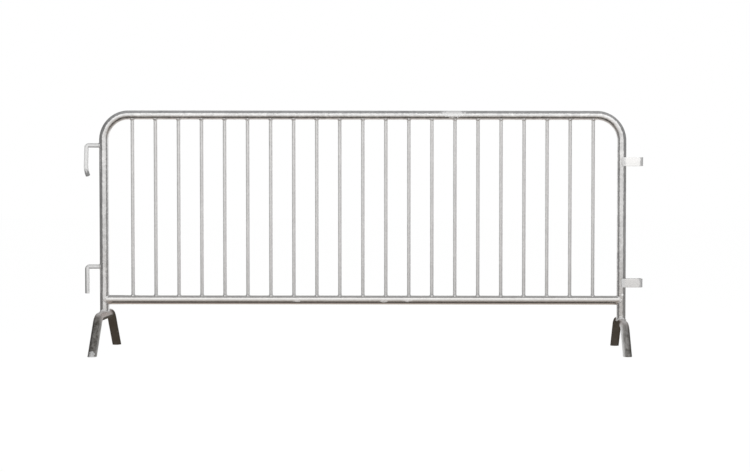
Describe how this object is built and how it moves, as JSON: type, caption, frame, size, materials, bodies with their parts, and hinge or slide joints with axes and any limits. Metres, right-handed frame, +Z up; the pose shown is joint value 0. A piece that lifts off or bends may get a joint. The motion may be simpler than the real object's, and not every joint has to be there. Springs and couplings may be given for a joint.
{
  "type": "crowd control barrier",
  "caption": "Free-standing galvanised steel crowd barrier: bent tube frame with upright bars, arched tube feet, and hooks and loops that link it to its neighbours.",
  "frame": {"origin": "on the ground, under the middle of the whole length and depth", "axes": "+X along the panel from the hooks to the loops, +Y across it to the back, +Z up"},
  "size_m": [2.5551, 0.5914, 1.1001],
  "materials": {
    "frame": "hot-dip galvanised, semi-gloss",
    "bars": "hot-dip galvanised, semi-gloss",
    "hooks": "hot-dip galvanised, bright",
    "loops": "hot-dip galvanised, bright",
    "feet": "hot-dip galvanised, worn and dirty",
    "welds": "galvanised weld bead"
  },
  "bodies": {
    "root": {"frame_tube": "frame", "bottom_rail": "frame", "bar_01": "bars", "bar_02": "bars", "bar_03": "bars", "bar_04": "bars", "bar_05": "bars", "bar_06": "bars", "bar_07": "bars", "bar_08": "bars", "bar_09": "bars", "bar_10": "bars", "bar_11": "bars", "bar_12": "bars", "bar_13": "bars", "bar_14": "bars", "bar_15": "bars", "bar_16": "bars", "bar_17": "bars", "bar_18": "bars", "bar_19": "bars", "bar_20": "bars", "bar_21": "bars", "upper_hook": "hooks", "lower_hook": "hooks", "upper_loop": "loops", "lower_loop": "loops", "left_foot": "feet", "right_foot": "feet", "bar_top_welds": "welds", "bar_bottom_welds": "welds", "rail_welds": "welds", "foot_welds": "welds", "hook_welds": "welds", "loop_welds": "welds"}
  },
  "joints": []
}
